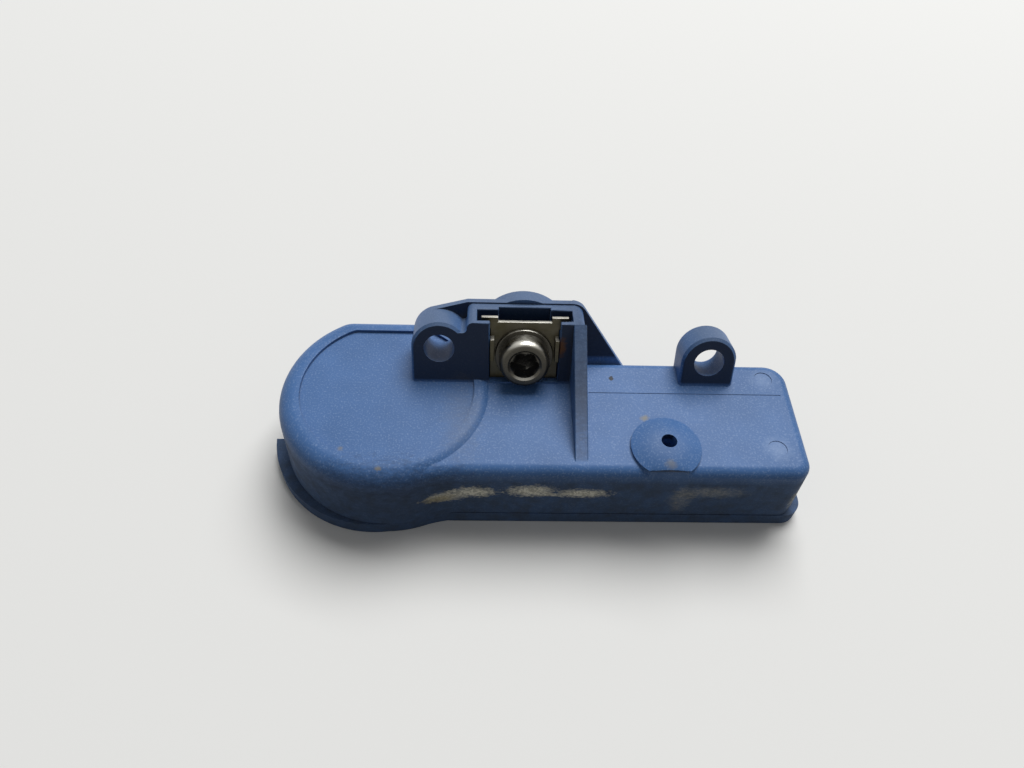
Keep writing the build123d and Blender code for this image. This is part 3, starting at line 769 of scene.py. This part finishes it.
def rolled_thread(sizes):
    """Right-handed thread: a pointed section carried round the axis, its two ends closed."""
    pitch = sizes.thread_pitch
    core = thread_core(sizes)
    section = (thread["r_mm"] * MM - core, 1, THREAD_HALF_WIDTH * pitch)
    turns = int(thread["length_mm"] * MM / pitch - 1)
    start = sizes.head_seat - sizes.neck_length - (turns + 0.5) * pitch
    bpy.ops.object.select_all(action="DESELECT")
    bpy.ops.mesh.primitive_circle_add(vertices=4, radius=1.0)
    piece = bpy.context.object
    bpy.ops.object.mode_set(mode="EDIT")
    bpy.ops.mesh.select_all(action="SELECT")
    bpy.ops.transform.rotate(value=math.pi / 2, orient_axis="X", center_override=(0, 0, 0))
    bpy.ops.transform.resize(value=section, center_override=(0, 0, 0))
    bpy.ops.transform.translate(value=(core, 0, start))
    bpy.ops.object.mode_set(mode="OBJECT")
    winding = piece.modifiers.new("turns", "SCREW")
    winding.axis = "Z"
    winding.screw_offset = pitch
    winding.iterations = turns
    winding.steps = THREAD_STEPS
    winding.render_steps = THREAD_STEPS
    apply_modifiers(piece)
    bpy.ops.object.mode_set(mode="EDIT")
    bpy.ops.mesh.select_all(action="SELECT")
    bpy.ops.mesh.remove_doubles(threshold=THREAD_MERGE)
    bpy.ops.mesh.fill_holes(sides=4)
    bpy.ops.object.mode_set(mode="OBJECT")
    return piece


# The floor's side in metres, how far out in millimetres it runs into the backdrop, the way from the part to
# the lamp, and where the camera's view begins
FLOOR_SIZE = 6.0
FLOOR_FADE = {"From Min": 180, "From Max": 600}
LAMP_WAY = Vector((0.2, 0.5, 0.84)).normalized()
VIEW_START = 5 * MM


def seen_directly(tree):
    """Output that is 1 where the camera, a mirror or a glass looks, and 0 for light that bounces on."""
    path = add_node(tree, "ShaderNodeLightPath")
    mirror = add_node(
        tree, "ShaderNodeMath", {0: path.outputs["Is Camera Ray"], 1: path.outputs["Is Glossy Ray"]},
        operation="MAXIMUM",
    )
    glass = add_node(
        tree, "ShaderNodeMath", {0: mirror.outputs[0], 1: path.outputs["Is Transmission Ray"]},
        operation="MAXIMUM",
    )
    return glass.outputs[0]


def lay_floor(stage):
    """Wide pale table under the part, which keeps its shadow and runs out into the backdrop."""
    bpy.ops.object.select_all(action="DESELECT")
    bpy.ops.mesh.primitive_plane_add(size=FLOOR_SIZE, location=(0, 0, cad_low.z))
    floor = bpy.context.object
    floor.name = "floor"
    material, tree, shader, place, _ = new_material("matt_table")
    shader.inputs["Specular IOR Level"].default_value = 0.0
    seen = seen_directly(tree)
    colour = stain(tree, stage.floor_bounce, seen, 1.0, stage.floor)
    away = add_node(tree, "ShaderNodeVectorMath", {0: place}, operation="LENGTH")
    fade = add_node(tree, "ShaderNodeMapRange", {"Value": away.outputs["Value"], **FLOOR_FADE})
    lost = add_node(tree, "ShaderNodeMath", {0: fade.outputs[0], 1: seen}, operation="MULTIPLY")
    colour = stain(tree, colour, lost.outputs[0], 1.0, linear("#000000"))
    tree.links.new(colour, shader.inputs["Base Color"])
    shader.inputs["Emission Color"].default_value = stage.backdrop
    tree.links.new(lost.outputs[0], shader.inputs["Emission Strength"])
    floor.data.materials.append(material)


def hang_softbox(stage):
    """Large square lamp above, behind and a little to the right, aimed at the part."""
    lamp = bpy.data.lights.new("softbox", "AREA")
    lamp.energy = stage.softbox_power
    lamp.size = stage.softbox_size
    softbox = bpy.data.objects.new("softbox", lamp)
    softbox.location = LAMP_WAY * stage.softbox_distance
    softbox.rotation_euler = LAMP_WAY.to_track_quat("Z", "Y").to_euler()
    softbox.visible_camera = False
    bpy.context.scene.collection.objects.link(softbox)


def light_room(scene, stage):
    """Dim even room light, which shows itself as a pale backdrop."""
    world = bpy.data.worlds.new("room")
    world.use_nodes = True
    tree = world.node_tree
    dim = [stage.ambient * channel for channel in stage.backdrop[:3]] + [1.0]
    colour = stain(tree, dim, seen_directly(tree), 1.0, stage.backdrop)
    tree.links.new(colour, tree.nodes["Background"].inputs["Color"])
    scene.world = world


def set_camera(scene, stage):
    """Camera at the photo's place, angle and field of view."""
    lens = bpy.data.cameras.new("camera")
    lens.sensor_width = SENSOR_WIDTH
    lens.lens = stage.focal_pixels * SENSOR_WIDTH / PHOTO_WIDTH
    lens.clip_start = VIEW_START
    camera = bpy.data.objects.new("camera", lens)
    view = Matrix.Rotation(stage.camera_yaw, 4, "Z")
    view = view @ Matrix.Rotation(math.pi / 2 - stage.camera_tilt, 4, "X")
    view = view @ Matrix.Rotation(stage.camera_roll, 4, "Z")
    camera.matrix_world = Matrix.Translation(stage.camera_place) @ view
    scene.collection.objects.link(camera)
    scene.camera = camera


class SENSOR_OT_casing(bpy.types.Operator):
    """Moulded casing and base cover with eased edges in worn blue nylon"""

    bl_idname = "sensor.casing"
    bl_label = "Casing"

    def execute(self, context):
        nylon = moulded_nylon(context.scene.sensor_finish)
        sizes = context.scene.sensor_sizes
        for node, edge in (("upper_housing", sizes.casing_edge), ("base_cover", sizes.cover_edge)):
            piece = eased_copy(node, node + "_moulding", edge)
            piece.data.materials.clear()
            piece.data.materials.append(nylon)
            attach(piece, "casing")
        return {"FINISHED"}


class SENSOR_OT_clip(bpy.types.Operator):
    """Stamped clip and plain washer with eased edges"""

    bl_idname = "sensor.clip"
    bl_label = "Clip and washer"

    def execute(self, context):
        finish = context.scene.sensor_finish
        edge = context.scene.sensor_sizes.sheet_edge
        for node, material, slot in (
            ("retaining_clip", rolled_stainless(finish), "stainless_sheet"),
            ("screw_washer", plated_steel(finish), "plated_steel"),
        ):
            piece = eased_copy(node, node + "_stamping", edge)
            piece.data.materials.clear()
            piece.data.materials.append(material)
            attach(piece, "casing")
        return {"FINISHED"}


class SENSOR_OT_screw(bpy.types.Operator):
    """Pan-head screw with a six-lobe recess and a rolled thread, on its joint's axis"""

    bl_idname = "sensor.screw"
    bl_label = "Valve screw"

    def execute(self, context):
        sizes = context.scene.sensor_sizes
        rings = screw_rings(sizes)
        piece = turned_blank(rings)
        press_recess(piece, sizes, rings[-1][1])
        bpy.ops.object.mode_set(mode="OBJECT")
        piece.name = "valve_screw_turned"
        winding = rolled_thread(sizes)
        make_active(piece)
        winding.select_set(True)
        bpy.ops.object.join()
        bpy.ops.object.mode_set(mode="EDIT")
        bpy.ops.mesh.select_all(action="SELECT")
        bpy.ops.mesh.normals_make_consistent(inside=False)
        bpy.ops.object.mode_set(mode="OBJECT")
        axis = Vector(turn["axis"]).to_track_quat("Z", "Y").to_matrix().to_4x4()
        piece.matrix_world = Matrix.Translation(turn["pos_m"]) @ axis
        bpy.ops.object.transform_apply(location=True, rotation=True, scale=True)
        bpy.ops.object.shade_smooth_by_angle(angle=SCREW_SMOOTH_ANGLE)
        piece.data.materials.append(plated_steel(context.scene.sensor_finish))
        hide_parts("valve_screw")
        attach(piece, "screw")
        return {"FINISHED"}


class SENSOR_OT_inside(bpy.types.Operator):
    """Works finishes of the pieces sealed in the casing"""

    bl_idname = "sensor.inside"
    bl_label = "Sealed pieces"

    def execute(self, context):
        made = {}
        for node, (name, *values) in INNER_FINISHES.items():
            if name not in made:
                made[name] = sealed_finish(name, *values)
            mesh = frame["nodes"][node].data
            mesh.materials.clear()
            mesh.materials.append(made[name])
        return {"FINISHED"}


class SENSOR_OT_stage(bpy.types.Operator):
    """Pale floor, a large softbox behind the part, a pale room and the camera"""

    bl_idname = "sensor.stage"
    bl_label = "Stage"

    def execute(self, context):
        stage = context.scene.sensor_stage
        lay_floor(stage)
        hang_softbox(stage)
        light_room(context.scene, stage)
        set_camera(context.scene, stage)
        context.scene.view_settings.view_transform = "Standard"
        return {"FINISHED"}


class SENSOR_PT_looks(bpy.types.Panel):
    """Sidebar panel with the sensor's pieces and settings"""

    bl_idname = "SENSOR_PT_looks"
    bl_label = "Tyre pressure sensor"
    bl_space_type = "VIEW_3D"
    bl_region_type = "UI"
    bl_category = "Sensor"

    def draw(self, context):
        for operator in OPERATORS:
            self.layout.operator(operator.bl_idname)
        for group in (context.scene.sensor_finish, context.scene.sensor_sizes, context.scene.sensor_stage):
            for name in group.bl_rna.properties.keys():
                if name not in ("name", "rna_type"):
                    self.layout.prop(group, name)


OPERATORS = (SENSOR_OT_casing, SENSOR_OT_clip, SENSOR_OT_screw, SENSOR_OT_inside, SENSOR_OT_stage)
GROUPS = {"sensor_finish": SensorFinish, "sensor_sizes": SensorSizes, "sensor_stage": SensorStage}


def register():
    for name, group in GROUPS.items():
        bpy.utils.register_class(group)
        setattr(bpy.types.Scene, name, PointerProperty(type=group))
    for operator in OPERATORS:
        bpy.utils.register_class(operator)
    bpy.utils.register_class(SENSOR_PT_looks)


def unregister():
    bpy.utils.unregister_class(SENSOR_PT_looks)
    for operator in reversed(OPERATORS):
        bpy.utils.unregister_class(operator)
    for name, group in GROUPS.items():
        delattr(bpy.types.Scene, name)
        bpy.utils.unregister_class(group)


def main():
    register()
    bpy.ops.sensor.casing()
    bpy.ops.sensor.clip()
    bpy.ops.sensor.screw()
    bpy.ops.sensor.inside()
    bpy.ops.sensor.stage()


if __name__ == "__main__":
    main()
